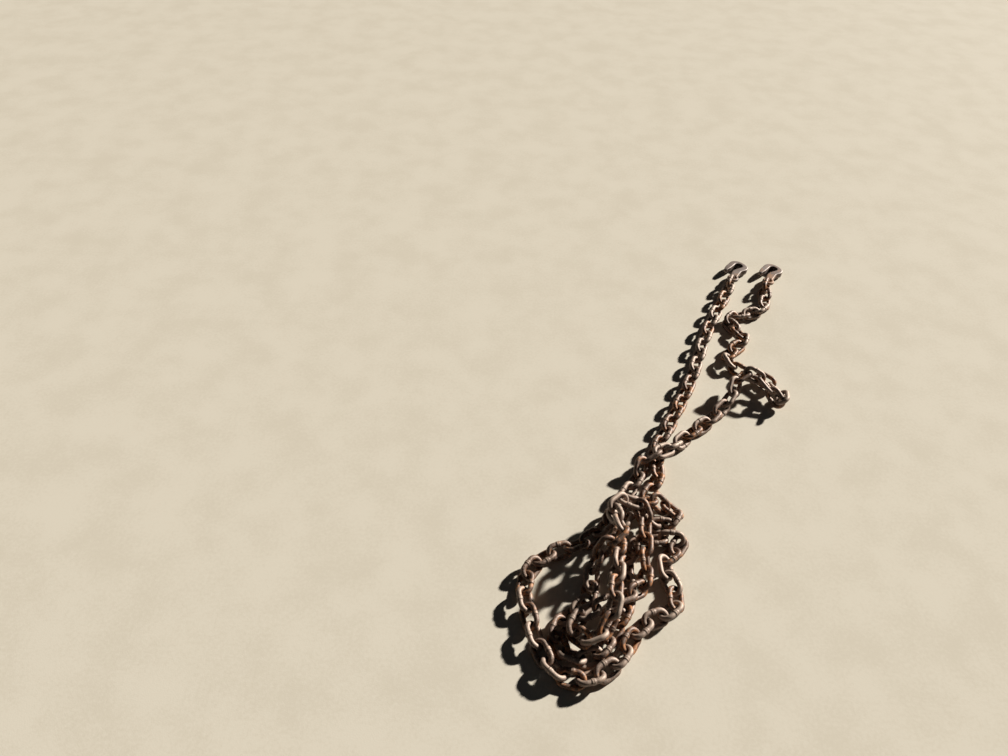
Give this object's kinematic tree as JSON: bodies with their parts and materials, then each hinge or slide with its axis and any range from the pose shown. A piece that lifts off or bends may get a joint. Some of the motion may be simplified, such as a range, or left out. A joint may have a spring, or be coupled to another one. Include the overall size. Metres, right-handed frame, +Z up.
{
  "type": "heap of steel chain",
  "caption": "Rusted welded-link steel chain lying in a loose heap, with its two ends drawn out straight and a grab hook on each end.",
  "frame": {"origin": "under the middle of the heap and its two strands, on the floor", "axes": "+Y from the heap towards the two hooks, +X to the right of someone who looks that way, +Z up"},
  "size_m": [0.7322, 1.2358, 0.0918],
  "materials": {
    "link_steel": "bare welded steel, dry brown rust all over, worn grey-brown on the tops",
    "hook_steel": "forged steel, thin grey-brown rust"
  },
  "bodies": {
    "root": {"grab_hook_left": "hook_steel", "grab_hook_right": "hook_steel", "left_strand_links_01": "link_steel", "left_strand_links_02": "link_steel", "left_strand_links_03": "link_steel", "left_strand_links_04": "link_steel", "left_strand_links_05": "link_steel", "left_strand_links_06": "link_steel", "left_strand_links_07": "link_steel", "heap_links_01": "link_steel", "heap_links_02": "link_steel", "heap_links_03": "link_steel", "heap_links_04": "link_steel", "heap_links_05": "link_steel", "heap_links_06": "link_steel", "heap_links_07": "link_steel", "heap_links_08": "link_steel", "heap_links_09": "link_steel", "heap_links_10": "link_steel", "heap_links_11": "link_steel", "heap_links_12": "link_steel", "heap_links_13": "link_steel", "heap_links_14": "link_steel", "heap_links_15": "link_steel", "heap_links_16": "link_steel", "heap_links_17": "link_steel", "heap_links_18": "link_steel", "heap_links_19": "link_steel", "heap_links_20": "link_steel", "heap_links_21": "link_steel", "heap_links_22": "link_steel", "heap_links_23": "link_steel", "heap_links_24": "link_steel", "heap_links_25": "link_steel", "heap_links_26": "link_steel", "heap_links_27": "link_steel", "heap_links_28": "link_steel", "right_strand_links_01": "link_steel", "right_strand_links_02": "link_steel", "right_strand_links_03": "link_steel", "right_strand_links_04": "link_steel", "right_strand_links_05": "link_steel", "right_strand_links_06": "link_steel", "right_strand_links_07": "link_steel", "right_strand_links_08": "link_steel", "right_strand_links_09": "link_steel", "right_strand_links_10": "link_steel", "right_strand_links_11": "link_steel"}
  },
  "joints": []
}
